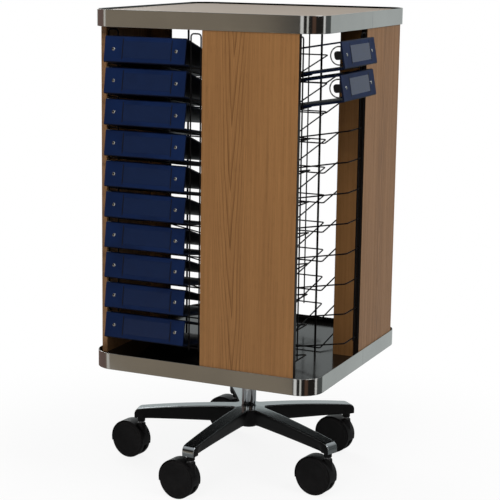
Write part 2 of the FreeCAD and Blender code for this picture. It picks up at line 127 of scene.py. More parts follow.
# Base and casters. ARM_TOP and ARM_KEEL are the constant, slope and curve of a height.
ARMS = 5
ARM_ANGLE = -95
ARM_REACH = 0.318
ARM_END = 0.335
ARM_HALF = (0.0210, 0.0182)
ARM_TOP = (0.18514, -0.0387, -0.1708)
ARM_KEEL = (0.13235, -0.01645, -0.0485)
ARM_LEAN = 0.344
ARM_NOSE = 0.016
ARM_CORNER = 0.002
ARM_EDGE = 0.0022
ARM_FOOT = 0.125
ARM_BLOCK = (0.296, 0.312)
CROTCH = 0.046
COLUMN = (0.018, 0.0205)
SOCKET_BORE = 0.0061
SOCKET = 0.0110
SOCKET_UNDER = 0.112
NECK_TOP = 0.1075
STEM_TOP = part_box("caster_hood_1")[1][2]
TRAIL = 0.037
TRAIL_ANGLE = np.radians(172)
WHEEL = 0.054
HOOD = 0.0565
HOOD_WALL = 0.0015
HOOD_ARC = (168, 372)
HOOD_EDGE = 35
HOOD_WEB = 0.012
WHEEL_GAP = 0.0005
WHEEL_WIDTH = 0.014
AXLE = 0.0039


# ------------ surfaces as arrays


def unit(v):
    """Each vector divided by its length."""
    return v / np.linalg.norm(v, axis=-1, keepdims=True)


def turned(points, degrees):
    """Points about the column's foot, turned about it: x' = x cos - y sin, y' = x sin + y cos."""
    c, s = np.cos(np.radians(degrees)), np.sin(np.radians(degrees))
    x, y, z = np.moveaxis(np.asarray(points, float), -1, 0)
    return np.stack([x * c - y * s, x * s + y * c, z], axis=-1)


def stood(points):
    """Points about the column's foot, moved to the rack's own frame."""
    return np.asarray(points, float) + (AXIS_X, AXIS_Y, 0)


def around(count):
    """The angles of a full turn in equal steps."""
    return np.linspace(0, 2 * np.pi, count, endpoint=False)


class Shape:
    """Surfaces gathered as arrays of points and faces, and then made one mesh."""

    def __init__(self):
        self.points, self.faces, self.slots, self.count = [], [], [], 0

    def add(self, points, faces, slot=0):
        points = np.asarray(points, float).reshape(-1, 3)
        self.points.append(points)
        self.faces += [(np.asarray(face) + self.count).tolist() for face in faces]
        self.slots += [slot] * len(faces) if np.isscalar(slot) else list(slot)
        self.count += len(points)

    def grid(self, points, round_u=False, round_v=False, slot=0):
        """Quads between neighbours of an array of n by m points, closed round either way."""
        n, m = points.shape[:2]
        u = np.arange(n if round_u else n - 1)
        v = np.arange(m if round_v else m - 1)
        i, j = (a.ravel() for a in np.meshgrid(u, v, indexing="ij"))
        k, w = (i + 1) % n, (j + 1) % m
        quads = np.stack([i * m + j, k * m + j, k * m + w, i * m + w], axis=-1)
        self.add(points, quads, slot if np.isscalar(slot) else np.asarray(slot)[i, j])

    def bar(self, points, slot=0, ends=0):
        """A closed section at each step along, with a flat face on the first and the last."""
        self.grid(points, round_v=True, slot=slot)
        for section in (points[0], points[-1]):
            self.add(section, [np.arange(len(section))], ends)

    def build(self, name, body, finishes, replaces, smooth=35):
        """One mesh with its doubles merged and its shells facing out, riding on its body."""
        mesh = bpy.data.meshes.new(name)
        mesh.from_pydata(np.concatenate(self.points), [], self.faces)
        mesh.polygons.foreach_set("material_index", np.array(self.slots, dtype=np.int32))
        work = bmesh.new()
        work.from_mesh(mesh)
        bmesh.ops.remove_doubles(work, verts=work.verts, dist=2e-6)
        bmesh.ops.dissolve_degenerate(work, edges=work.edges, dist=1e-6)
        bmesh.ops.recalc_face_normals(work, faces=work.faces)
        work.to_mesh(mesh)
        work.free()
        for finish in finishes:
            mesh.materials.append(finish)
        mesh.shade_smooth()
        mesh.set_sharp_from_angle(angle=np.radians(smooth))
        piece = bpy.data.objects.new(name, mesh)
        bpy.context.scene.collection.objects.link(piece)
        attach(piece, body)
        if replaces:
            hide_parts(replaces)


def bent(corners, radius, steps=5):
    """A line through corners, each inner one rounded.

    With a and b the unit runs away from a corner and h half the angle between them, the arc
    touches the runs at radius / tan h and is centred at radius / sin h along a + b. Its points
    turn evenly from one touch to the other.
    """
    corners = np.asarray(corners, float)
    line = [corners[:1]]
    for before, corner, after in zip(corners, corners[1:], corners[2:]):
        a, b = unit(before - corner), unit(after - corner)
        half = np.arccos(np.clip(a @ b, -1, 1)) / 2
        centre = corner + unit(a + b) * radius / np.sin(half)
        start = corner + a * radius / np.tan(half) - centre
        end = corner + b * radius / np.tan(half) - centre
        sweep = np.pi - 2 * half
        t = np.linspace(0, 1, steps + 1)[:, None]
        arc = (np.sin((1 - t) * sweep) * start + np.sin(t * sweep) * end) / np.sin(sweep)
        line.append(centre + arc)
    line.append(corners[-1:])
    return np.concatenate(line)


def tube(shape, line, radius, side, sides, tip=True):
    """A round wire along a flat line, with domed tips.

    side is the normal of the line's plane. Ring k is line[k] + radius (cos t side + sin t up),
    with up = tangent x side. The tips are rings whose radius falls as a cosine while they move
    out as a sine.
    """
    line = np.asarray(line, float)
    tangent = unit(np.gradient(line, axis=0))
    tangent[0], tangent[-1] = unit(line[1] - line[0]), unit(line[-1] - line[-2])
    radii = np.full(len(line), radius)
    if tip:
        fall = np.radians([90, 60, 30])[:, None]
        head = line[0] - tangent[0] * radius * np.sin(fall)
        tail = line[-1] + tangent[-1] * radius * np.sin(fall[::-1])
        line = np.concatenate([head, line, tail])
        cap = (radius * np.cos(fall))[:, 0]
        radii = np.concatenate([cap, radii, cap[::-1]])
        first, last = (np.repeat(end, 3, 0) for end in (tangent[:1], tangent[-1:]))
        tangent = np.concatenate([first, tangent, last])
    side = np.broadcast_to(unit(np.asarray(side, float)), tangent.shape)
    up = np.cross(tangent, side)
    t = around(sides)[None, :, None]
    ring = np.cos(t) * side[:, None] + np.sin(t) * up[:, None]
    shape.grid(line[:, None] + radii[:, None, None] * ring, round_v=True)


def lathe(shape, profile, centre, axis=(0, 0, 1), segments=64, slot=0, closed=False, arc=None):
    """A profile of (radius, distance along the axis) turned about the axis through centre.

    An arc in degrees makes it a part turn of a closed profile, with a face at each end.
    """
    axis = unit(np.asarray(axis, float))
    first = unit(np.cross(axis, (0, 0, 1) if abs(axis[2]) < 0.9 else (1, 0, 0)))
    t = around(segments) if arc is None else np.linspace(*np.radians(arc), segments)
    out = np.cos(t)[:, None] * first + np.sin(t)[:, None] * np.cross(axis, first)
    radius, along = np.asarray(profile, float).T
    points = centre + radius[None, :, None] * out[:, None] + along[None, :, None] * axis
    if arc is None:
        shape.grid(points, round_u=True, round_v=closed, slot=slot)
    else:
        shape.bar(points, slot, slot)


def round_profile(corners, radius, steps=4):
    """A closed flat outline with each corner rounded by the arc rule of bent()."""
    flat = np.asarray(corners, float)
    ring = np.concatenate([flat[-1:], flat, flat[:1]])
    pieces = []
    for k, r in enumerate(np.broadcast_to(radius, (len(flat),))):
        sharp = flat[k : k + 1]
        pieces.append(bent(ring[k : k + 3], r, steps)[1:-1] if r else sharp)
    return np.concatenate(pieces)


def outward(outline):
    """Unit normals of a closed anticlockwise outline: its mean tangent turned a quarter."""
    tangent = unit(np.roll(outline, -1, 0) - np.roll(outline, 1, 0))
    return np.stack([tangent[:, 1], -tangent[:, 0]], axis=-1)


def carried(shape, outline, profile):
    """A closed profile of (offset, height) round an outline: outline + offset x normal."""
    offset, height = np.asarray(profile).T
    flat = outline[:, None] + offset[None, :, None] * outward(outline)[:, None]
    level = np.broadcast_to(height[None, :, None], flat.shape[:2] + (1,))
    shape.grid(stood(np.concatenate([flat, level], axis=-1)), True, True)


def dome(shape, centre, axis, radius, height):
    """A rivet head: a cap whose radius grows as a sine while its height falls as a cosine."""
    t = np.radians(np.linspace(0, 90, 7))
    profile = np.stack([radius * np.sin(t), height * np.cos(t)], axis=-1)
    foot = [[radius * 0.4, -0.0004], [0, -0.0004]]
    lathe(shape, np.concatenate([profile, foot]), centre, axis, 20)


# ------------ shader maths


class Number:
    """A number socket of a material. Arithmetic on it adds Math nodes."""

    def __init__(self, finish, socket):
        self.finish, self.socket = finish, socket

    def __add__(self, other):
        return self.finish.math("ADD", self, other)

    def __sub__(self, other):
        return self.finish.math("SUBTRACT", self, other)

    def __rsub__(self, other):
        return self.finish.math("SUBTRACT", other, self)

    def __mul__(self, other):
        return self.finish.math("MULTIPLY", self, other)

    def __truediv__(self, other):
        return self.finish.math("DIVIDE", self, other)

    def __rtruediv__(self, other):
        return self.finish.math("DIVIDE", other, self)

    def __abs__(self):
        return self.finish.math("ABSOLUTE", self)

    __radd__, __rmul__ = __add__, __mul__

    def root(self):
        return self.finish.math("SQRT", self)

    def positive(self):
        return self.finish.math("MAXIMUM", self, 0.0)

    def fraction(self):
        return self.finish.math("FRACT", self)

    def between(self, low, high):
        """0 below low, 1 above high and smooth in between."""
        settings = {"interpolation_type": "SMOOTHSTEP"}
        sockets = {"Value": self, "From Min": low, "From Max": high}
        made = self.finish.node("ShaderNodeMapRange", settings, sockets)
        return Number(self.finish, made.outputs[0])


class Nodes:
    """A node tree with the place that it shades, whole and as three numbers."""

    def __init__(self, tree, coordinates):
        self.tree = tree
        self.place = self.node("ShaderNodeTexCoord").outputs[coordinates]
        split = self.node("ShaderNodeSeparateXYZ", sockets={"Vector": self.place})
        self.x, self.y, self.z = (Number(self, s) for s in split.outputs)

    def node(self, kind, settings=None, sockets=None):
        """A node of one type, its settings made first and then its sockets set or linked."""
        made = self.tree.nodes.new(kind)
        for key, value in (settings or {}).items():
            setattr(made, key, value)
        for key, value in (sockets or {}).items():
            self.feed(made.inputs[key], value)
        return made

    def feed(self, socket, value):
        value = value.socket if isinstance(value, Number) else value
        if isinstance(value, bpy.types.NodeSocket):
            self.tree.links.new(value, socket)
        elif socket.type == "RGBA":
            socket.default_value = (*value, 1)
        else:
            socket.default_value = value

    def math(self, operation, *values):
        made = self.node("ShaderNodeMath", {"operation": operation}, dict(enumerate(values)))
        return Number(self, made.outputs[0])

    def noise(self, scale, detail, roughness, at=None):
        sockets = {"Scale": scale, "Detail": detail, "Roughness": roughness}
        made = self.node("ShaderNodeTexNoise", sockets={"Vector": at or self.place, **sockets})
        return Number(self, made.outputs[0])

    def stretched(self, x, y, z, detail, roughness):
        """Noise of one unit's grain, read at the place (x, y, z)."""
        at = self.node("ShaderNodeCombineXYZ", sockets={"X": x, "Y": y, "Z": z}).outputs[0]
        return self.noise(1.0, detail, roughness, at)

    def mix(self, factor, a, b):
        made = self.node("ShaderNodeMix", {"data_type": "RGBA"}, {0: factor, 6: a, 7: b})
        return made.outputs[2]

    def rays(self):
        """1 where the camera looks, where a mirror looks and where the view passes through."""
        path, kinds = self.node("ShaderNodeLightPath"), ("Camera", "Glossy", "Transmission")
        return [Number(self, path.outputs[f"Is {kind} Ray"]) for kind in kinds]


class Finish(Nodes):
    """One material: a Principled shader and the nodes that feed it."""

    def __init__(self, name, color, **constants):
        self.material = bpy.data.materials.new(name)
        self.material.use_nodes = True
        super().__init__(self.material.node_tree, "Object")
        self.shader = self.tree.nodes["Principled BSDF"]
        for key, value in {"base_color": color, **constants}.items():
            socket = key.replace("_", " ").title().replace("Ior", "IOR")
            self.feed(self.shader.inputs[socket], value)

    def done(self, color, rough, height, distance, strength):
        """Feeds a colour, a roughness and a bump, and gives the material."""
        self.feed(self.shader.inputs["Base Color"], color)
        self.feed(self.shader.inputs["Roughness"], rough)
        sockets = {"Height": height, "Distance": distance, "Strength": strength}
        bump = self.node("ShaderNodeBump", sockets=sockets)
        self.feed(self.shader.inputs["Normal"], bump.outputs[0])
        return self.material


def times(color, factor):
    """A colour with each channel multiplied."""
    return tuple(c * factor for c in color)


def oak_finish(name, node, across, heart, look, painted_shade, painted_light_cool, seed, black=(1, 1)):
    """Flat-sawn oak veneer with its grain along Z, one narrow flame and black edge strips.

    A growth ring is a level of v + 22 v^2 + 0.11 (2 - z), where v is the distance from the heart
    as it sways along Z: near the heart that draws long pointed V shapes, and further out upright
    lines. The ring's fraction gives its dark edge, and stretched noise the streaks and pores.
    """
    f = Finish(name, (0.5, 0.5, 0.5), roughness=0.45, specular_ior_level=0.2)
    along = f.x if across == "X" else f.y
    low, high = (float(corner["XY".index(across)]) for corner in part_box(node))
    first = 1.0 - along.between(low + 0.0005, low + 0.0008)
    last = along.between(high - 0.0008, high - 0.0005)
    u = along - heart

    def grain(fine, long, number, detail, roughness, low, high):
        noise = f.stretched(u * fine, seed + number, f.z * long, detail, roughness)
        return noise.between(low, high)

    sway = f.stretched(seed, 3.0, f.z * 1.7, 2.0, 0.5) - 0.5
    wander = f.stretched(u * 22.0, seed, f.z * 3.0, 3.0, 0.55) - 0.5
    v = abs(u + sway * 0.040)
    rise = (2.0 - f.z) * 0.11
    ring = (v + v * v * 22.0 + rise + wander * 0.014) / look.grain_spacing
    edge = ring.fraction()
    inner = (ring * 3.0).fraction()
    line = edge.between(0.55, 0.93) * (1.0 - edge.between(0.95, 1.0))
    thin = inner.between(0.50, 0.92) * (1.0 - inner.between(0.94, 1.0))
    flame = 1.0 - v.between(0.010, 0.050)
    patch = grain(16.0, 1.4, 9.0, 2.0, 0.5, 0.30, 0.75)
    streak = grain(130.0, 1.9, 2.0, 4.0, 0.65, 0.32, 0.72)
    hair = grain(420.0, 6.0, 4.0, 2.0, 0.6, 0.35, 0.75)
    pore = grain(900.0, 30.0, 3.0, 2.0, 0.6, 0.58, 0.70)
    figure = (line * 0.50 + thin * 0.18) * (0.22 + 0.78 * flame)
    tone = figure + streak * 0.30 + patch * 0.14 + hair * 0.16
    # Painted light and shade: shade darkens the whole oak of a board that stands in shade (the
    # return boards), and cool draws it towards grey where the light on that face is cooler (panels
    # b and d).
    light, dark = (tint_of(color, painted_shade, painted_light_cool) for color in (look.oak_light, look.oak_dark))
    veneer = f.mix(pore * 0.35, f.mix(tone, light, dark), times(dark, 0.5))
    color = f.mix(first * black[0] + last * black[1], veneer, (0.010, 0.0065, 0.0045))
    rough = 0.42 + 0.10 * pore + 0.08 * streak
    return f.done(color, rough, 1.0 - pore * 0.6 - line * 0.3, 0.00020, 0.5)


def tint_of(color, painted_shade, painted_light_cool):
    """A colour made darker by its painted-shade factor and drawn part of the way to its own grey
    by its painted-light factor.
    """
    r, g, b = times(color, painted_shade)
    grey = 0.35 * r + 0.45 * g + 0.20 * b
    return tuple(c + (grey - c) * painted_light_cool for c in (r, g, b))


def steel_band_finish(look):
    """Polished stainless strip: long brush lines, some cloudiness, a butt seam and dark sealant.

    The sealant is on the inner wall, by the distance from the rounded square's corner centres.
    """
    steel = tuple(look.band_steel)
    f = Finish("steel_band", steel, metallic=1.0, roughness=0.1)
    brush = f.stretched(f.x * 5.0, f.y * 5.0, f.z * 1400.0, 3.0, 0.6)
    cloud = f.noise(5.0, 3.0, 0.55)
    seam = 1.0 - abs(f.y - (AXIS_Y + SEAM_SHIFT)).between(0.0003, 0.0008)
    seam = seam * f.x.between(0.20, 0.21)
    straight = HALF_SIDE - BAND_CORNER
    x, y = (
        (abs(side - axis) - straight).positive() for side, axis in ((f.x, AXIS_X), (f.y, AXIS_Y))
    )
    out = (x * x + y * y).root()
    sealant = 1.0 - out.between(BAND_CORNER - 0.0013, BAND_CORNER - 0.0010)
    plain = f.mix(cloud.between(0.35, 0.7) * 0.5 + brush * 0.3, steel, times(steel, 0.80))
    color = f.mix((seam * 0.7 + sealant).between(0.0, 1.0), plain, times(steel, 0.06))
    rough = 0.07 + 0.05 * brush + 0.03 * cloud
    return f.done(color, rough, brush * 0.08 - seam, 0.0001, 0.15)


def laminate_finish(look):
    """Upper deck: taupe laminate on its top face and black laminate below, with a fine mottle."""
    f = Finish("deck_laminate", (0.5, 0.5, 0.5), roughness=0.5, specular_ior_level=0.25)
    fleck = f.noise(420.0, 2.0, 0.6)
    cloud = f.noise(5.0, 3.0, 0.5)
    top = f.z.between(TOP_FACE - 0.0012, TOP_FACE - 0.0008)
    taupe = f.mix(fleck.between(0.35, 0.7), tuple(look.laminate), times(look.laminate, 0.86))
    black = f.mix(cloud, (0.0060, 0.0055, 0.0050), (0.0100, 0.0092, 0.0085))
    return f.done(f.mix(top, black, taupe), 0.46 + 0.08 * cloud, fleck, 0.00012, 0.3)


def black_laminate_finish():
    """Lower deck: glossy black laminate, faint clouds and wear where charts are set down."""
    f = Finish("deck_black", (0.5, 0.5, 0.5), roughness=0.15, specular_ior_level=0.2)
    cloud = f.noise(6.0, 3.0, 0.55)
    wear = f.noise(55.0, 3.0, 0.65).between(0.5, 0.8)
    color = f.mix(cloud, (0.0050, 0.0045, 0.0040), (0.0090, 0.0082, 0.0075))
    return f.done(color, 0.10 + 0.07 * cloud + 0.06 * wear, wear, 0.00005, 0.1)


def coated_wire_finish(look):
    """Black dipped plastic coat with a slight orange peel."""
    black = tuple(look.black)
    f = Finish("coated_wire", black, roughness=0.45, specular_ior_level=0.06)
    peel = f.noise(520.0, 2.0, 0.5)
    return f.done(f.mix(peel, black, times(black, 1.8)), 0.36 + 0.16 * peel, peel, 0.0002, 0.3)


def moulded_black_finish(name, look, roughness, lift=1.0):
    """Moulded black plastic: fine spark texture and a little dust in its tone."""
    f = Finish(name, tuple(look.black), roughness=roughness, specular_ior_level=0.22)
    grain = f.noise(900.0, 2.0, 0.6)
    dust = f.noise(22.0, 3.0, 0.6)
    pale = tuple(c * lift * 1.7 + 0.001 for c in look.black)
    color = f.mix(dust.between(0.35, 0.8), times(look.black, lift), pale)
    return f.done(color, roughness - 0.05 + 0.12 * dust + 0.05 * grain, grain, 0.00015, 0.3)


def gloss_black_finish(look):
    """Black enamel on the casting's sides, with a soft unevenness under the shine."""
    f = Finish("gloss_black", tuple(look.black), roughness=0.4, specular_ior_level=0.2)
    wave = f.noise(38.0, 2.0, 0.5)
    color = f.mix(wave, times(look.black, 0.8), times(look.black, 1.5))
    return f.done(color, 0.34 + 0.12 * wave, wave, 0.0004, 0.08)


def buffed_finish(look):
    """Buffed metal on the arms' tops and ends, with very fine scratches."""
    metal = tuple(look.buffed)
    f = Finish("buffed_metal", metal, metallic=1.0, roughness=0.12)
    scratch = f.stretched(f.x * 500.0, f.y * 500.0, f.z * 900.0, 3.0, 0.65)
    cloud = f.noise(9.0, 3.0, 0.5)
    rough = 0.08 + 0.06 * scratch + 0.04 * cloud
    return f.done(f.mix(cloud, metal, times(metal, 0.86)), rough, scratch, 0.00001, 0.03)


def chrome_finish(look):
    """Bright chrome with the faintest polishing lines."""
    metal = tuple(look.chrome)
    f = Finish("chrome", metal, metallic=1.0, roughness=0.06)
    line = f.stretched(f.x * 20.0, f.y * 20.0, f.z * 700.0, 2.0, 0.5)
    return f.done(f.mix(line, metal, times(metal, 0.9)), 0.04 + 0.05 * line, line, 0.00002, 0.1)


def zinc_finish():
    """Dull zinc plate, slightly mottled."""
    f = Finish("zinc_plate", (0.42, 0.42, 0.43), metallic=1.0, roughness=0.38)
    cloud = f.noise(140.0, 3.0, 0.6)
    color = f.mix(cloud, (0.50, 0.50, 0.51), (0.34, 0.34, 0.36))
    return f.done(color, 0.30 + 0.2 * cloud, cloud, 0.0001, 0.3)


def chart_finish(name, look, painted_shade):
    """Blue moulded cover: fine leather-like grain and a slow change of tone, its blue darkened by
    the painted-shade factor.
    """
    blue = times(look.chart_blue, painted_shade)
    f = Finish(name, blue, roughness=0.5, specular_ior_level=0.14)
    grain = f.noise(1300.0, 2.0, 0.55)
    cloud = f.noise(11.0, 3.0, 0.55)
    color = f.mix(cloud.between(0.3, 0.75), blue, times(blue, 0.72))
    return f.done(color, 0.42 + 0.10 * grain + 0.08 * cloud, grain, 0.00018, 0.4)


def label_finish(look):
    """Clear label pocket over a blue-grey card, a little wavy."""
    card = tuple(look.label_blue)
    f = Finish("label_pocket", card, roughness=0.14, specular_ior_level=0.4)
    wave = f.noise(40.0, 2.0, 0.5)
    return f.done(f.mix(wave, card, times(card, 0.8)), 0.10 + 0.08 * wave, wave, 0.0006, 0.15)


def ring_finish():
    """Nickel of the rings, strip and rivets, dulled a little by handling."""
    f = Finish("ring_nickel", (0.42, 0.42, 0.40), metallic=1.0, roughness=0.16)
    cloud = f.noise(160.0, 3.0, 0.6)
    color = f.mix(cloud, (0.50, 0.50, 0.48), (0.34, 0.34, 0.32))
    return f.done(color, 0.12 + 0.10 * cloud, cloud, 0.00004, 0.2)


# ------------ pieces


def wire_bay(letter, finish):
    """Ten tilted shelf wires, two front hairpins and two rear rods of one bay.

    A shelf wire is one line of five runs in the plane z = front z + (x - front) tan(tilt).
    """
    turn = QUARTERS[letter]
    shape = Shape()

    def wire(line, normal, *rest, **options):
        tube(shape, stood(turned(line, turn)), *rest, turned(normal, turn), **options)

    plan = [
        (SHELF_FRONT, -NEAR_LEG + WIRE),
        (SHELF_FRONT, -SHELF_NEAR),
        (SHELF_REAR, -SHELF_NEAR),
        (SHELF_REAR, -SHELF_FAR),
        (SHELF_OUTER, -SHELF_FAR),
        (SHELF_OUTER, -FAR_LEG - WIRE * 0.5),
    ]
    rise = (np.array(plan)[:, 0] - SHELF_FRONT) * np.tan(SHELF_TILT)
    normal = (-np.sin(SHELF_TILT), 0, np.cos(SHELF_TILT))
    for level in range(SHELVES):
        corners = np.column_stack([plan, SHELF_TOP - level * SHELF_PITCH + rise])
        wire(bent(corners, WIRE_BEND), normal, WIRE, sides=10)
    low = SHELF_TOP - (SHELVES - 1) * SHELF_PITCH - HAIRPIN_DROP
    high = SHELF_TOP + HAIRPIN_RISE
    pins = (
        (HAIRPIN_FRONT, -NEAR_LEG - HAIRPIN_GAP, -NEAR_LEG),
        (HAIRPIN_BACK, -FAR_LEG, -FAR_LEG + HAIRPIN_GAP),
    )
    for x, first, second in pins:
        corners = [(x, first, low), (x, first, high), (x, second, high), (x, second, low)]
        wire(bent(corners, HAIRPIN_BEND), (1, 0, 0), WIRE, sides=12)
    for y in ROD_SIDES:
        rod = [(ROD_LINE, -y, DECK_FLOOR), (ROD_LINE, -y, TOP_UNDER)]
        wire(rod, (1, 0, 0), ROD, sides=14, tip=False)
    shape.build(f"wires_{letter}", "carousel", [finish], f"wire_rack_{letter}")


def chart_frame(number):
    """The turn and origin that take a chart drawn lying flat to its place on its shelf."""
    side = number > FULL_BAY
    level = number - FULL_BAY - 1 if side else number - 1
    x = CHART_STOP + (CHART_PULL * np.cos(SHELF_TILT) if side else 0)
    lift = (WIRE + REST_GAP) / np.cos(SHELF_TILT)
    z = SHELF_TOP - level * SHELF_PITCH + (x - SHELF_FRONT) * np.tan(SHELF_TILT) + lift
    turn = QUARTERS["b" if side else "a"]

    def place(points):
        px, py, pz = np.moveaxis(np.asarray(points, float), -1, 0)
        c, s = np.cos(SHELF_TILT), np.sin(SHELF_TILT)
        tilted = np.stack([x + px * c - pz * s, py - CHART_MIDDLE, z + px * s + pz * c], axis=-1)
        return stood(turned(tilted, turn))

    return place


def chart_cover(number, finishes):
    """A moulded cover folded round its spine.

    The wall's section runs along one cover, round the spine and back, with more points towards
    the free edges. It is carried across the width to y = s w(x), where w is half the width less
    what the rounded free corners take away. The upper cover of a chart in the full bay hangs
    from the spine's edge: its drop is the sag times the share of the depth from the spine.
    """
    place = chart_frame(number)
    wall, depth, height = CHART_WALL, CHART_DEPTH, CHART_HEIGHT
    corners = [(0, 0), (depth, 0), (depth, height), (0, height), (0, height - wall)]
    corners += [(depth - wall, height - wall), (depth - wall, wall), (0, wall)]
    radii = [0.0010, 0.0040, 0.0040, 0.0010, 0.0010, 0.0012, 0.0012, 0.0010]
    section = round_profile(corners, radii, 5)
    dense = []
    for a, b in zip(section, np.roll(section, -1, 0)):
        steps = 16 if abs(a[0] - b[0]) > depth / 2 else 1
        t = np.linspace(0, 1, steps, endpoint=False)[:, None]
        dense.append(a + (b - a) * (t * t if a[0] < b[0] else 1 - (1 - t) ** 2))
    section = np.concatenate(dense)
    x, upper = section[:, 0], section[:, 1] > height / 2
    reach = np.clip(CHART_CORNER - x, 0, CHART_CORNER)
    half = CHART_WIDTH / 2 - CHART_CORNER + np.sqrt(CHART_CORNER**2 - reach**2)
    centre = np.column_stack([x, np.where(upper, height - wall / 2, wall / 2)])
    sag = 0.0 if number > FULL_BAY else CHART_SAG[number - 1]
    share = np.clip((depth - wall - 0.0015 - x) / (depth - wall), 0, 1)
    drop = np.column_stack([0 * share, np.where(upper, sag * share, 0)])
    rows = []
    for inset, shrink in ((0.0, 0.0008), (0.00025, 0.00025), (0.0008, 0.0)):
        pull = unit(centre - section + 1e-9) * shrink
        rows.append((half - inset, section + pull - drop))
    stations = [(-w, p) for w, p in rows] + [(w, p) for w, p in rows[::-1]]
    points = np.stack([np.column_stack([p[:, 0], w, p[:, 1]]) for w, p in stations])
    front = np.minimum(x, np.roll(x, -1)) > depth - 0.0004
    shape = Shape()
    # Every face but the flat spine front takes the second finish, the same blue drawn darker:
    # painted shade on the covers and on the spine's rolled edges.
    shape.bar(place(points), np.tile(np.where(front, 0, 1), (len(points), 1)), 1)
    body, replaced = f"chart_{number:02d}", f"binder_{number:02d}"
    shape.build(f"chart_cover_{number:02d}", body, finishes, replaced)


def spine_pad(shape, place, corners, radius, base, steps, slot):
    """A thin pad on the spine: its rounded outline at each (inset, rise) of steps."""
    y0, y1, z0, z1 = corners
    edge = round_profile([(y0, z0), (y1, z0), (y1, z1), (y0, z1)], radius)
    rings = []
    for inset, rise in steps:
        ring = edge - outward(edge) * inset
        rings.append(np.column_stack([np.full(len(ring), base + rise), ring]))
    shape.bar(place(np.stack(rings)), slot, slot)


def chart_label(number, card, bead):
    """A card pocket in the spine's recess, between two upright beads nearly the spine's height."""
    place = chart_frame(number)
    shape = Shape()
    y0, y1 = LABEL_SHIFT - LABEL_WIDTH / 2, LABEL_SHIFT + LABEL_WIDTH / 2
    z0, z1 = CHART_HEIGHT / 2 - LABEL_HEIGHT / 2, CHART_HEIGHT / 2 + LABEL_HEIGHT / 2
    corners = (y0 + 0.0004, y1 - 0.0004, z0 + 0.0004, z1 - 0.0004)
    steps = ((0.0, 0.0), (0.0, 0.0010), (0.0002, 0.0012))
    spine_pad(shape, place, corners, 0.0016, CHART_DEPTH - 0.0008, steps, 0)
    steps = ((0.0, 0.0), (0.0, 0.0005), (0.0004, 0.0007))
    low, high = BEAD_ENDS
    for y in (y0 - BEAD_GAP, y1 + BEAD_GAP):
        corners = (y - BEAD_HALF, y + BEAD_HALF, low, CHART_HEIGHT - high)
        spine_pad(shape, place, corners, 0.0008, CHART_DEPTH - 0.0002, steps, 1)
    body = f"chart_{number:02d}"
    shape.build(f"chart_label_{number:02d}", body, [card, bead], None)


def chart_rings(number, finishes):
    """Arched strip, two ring loops, a lever at each end of the strip and two rivets."""
    place = chart_frame(number)
    shape = Shape()
    inside, middle = CHART_DEPTH - CHART_WALL, CHART_HEIGHT / 2
    t = np.linspace(-1, 1, 9)
    arch = np.column_stack([inside - 0.0004 - 0.0042 * (1 - t * t), 0.009 * t])
    under = np.column_stack([inside - 0.0001 - 0.0034 * (1 - t * t), 0.008 * t])[::-1]
    x, z = np.concatenate([arch, under]).T
    ends = ((-STRIP_HALF, 0.75), (-STRIP_HALF + 0.001, 1.0))
    ends += tuple((-y, grow) for y, grow in ends[::-1])
    strip = [np.column_stack([x, np.full(len(x), y), middle + z * grow]) for y, grow in ends]
    shape.bar(place(np.stack(strip)))

    a, b = around(40)[:, None], around(8)[None]
    out = RING_RADIUS - RING_WIRE + RING_WIRE * np.cos(b)
    for y in (-RING_SIDE, RING_SIDE):
        ring_x = inside - REST_GAP - RING_RADIUS + out * np.cos(a)
        ring_y = y + RING_WIRE * np.sin(b) + 0 * a
        loop = np.stack([ring_x, ring_y, middle + out * np.sin(a)], axis=-1)
        shape.grid(place(loop), True, True)

    outline = [(inside - 0.0050, middle - 0.010), (inside - 0.0050, middle + 0.010)]
    outline += [(inside - 0.0260, middle + 0.0135), (inside - 0.0260, middle - 0.0090)]
    lever = round_profile(outline, [0.002, 0.002, 0.007, 0.007])
    normal = outward(lever)
    for side in (-1, 1):
        plate = []
        for inset, y in ((0.0004, 0.0996), (0, 0.1000), (0, 0.1012), (0.0004, 0.1016)):
            x, z = (lever + normal * inset).T
            plate.append(np.column_stack([x, np.full(len(x), side * y), z]))
        shape.bar(place(np.stack(plate)), 1, 1)
        spot, ahead = place([(CHART_DEPTH + d, side * RIVET_SPAN / 2, middle) for d in (0, 1)])
        dome(shape, spot, ahead - spot, *RIVET)
    body, replaced = f"chart_{number:02d}", f"rings_{number:02d}"
    shape.build(f"chart_rings_{number:02d}", body, finishes, replaced)


def eased(value, low, high):
    """0 below low, 1 above high and 3t^2 - 2t^3 between them."""
    t = np.clip((value - low) / (high - low), 0, 1)
    return t * t * (3 - 2 * t)


def arm_top(x):
    """Height of an arm's upper face: a falling parabola, and a quarter round at its end."""
    level, slope, curve = ARM_TOP
    roll = np.clip(x - (ARM_END - ARM_NOSE), 0, ARM_NOSE)
    return level + slope * x + curve * x * x - (ARM_NOSE - np.sqrt(ARM_NOSE**2 - roll**2))


def arm_under(x):
    """Height of an arm's underside: a falling parabola that ends in the flat block."""
    level, slope, curve = ARM_KEEL
    keel = level + slope * x + curve * x * x
    return keel + (ARM_FOOT - keel) * eased(x, *ARM_BLOCK)


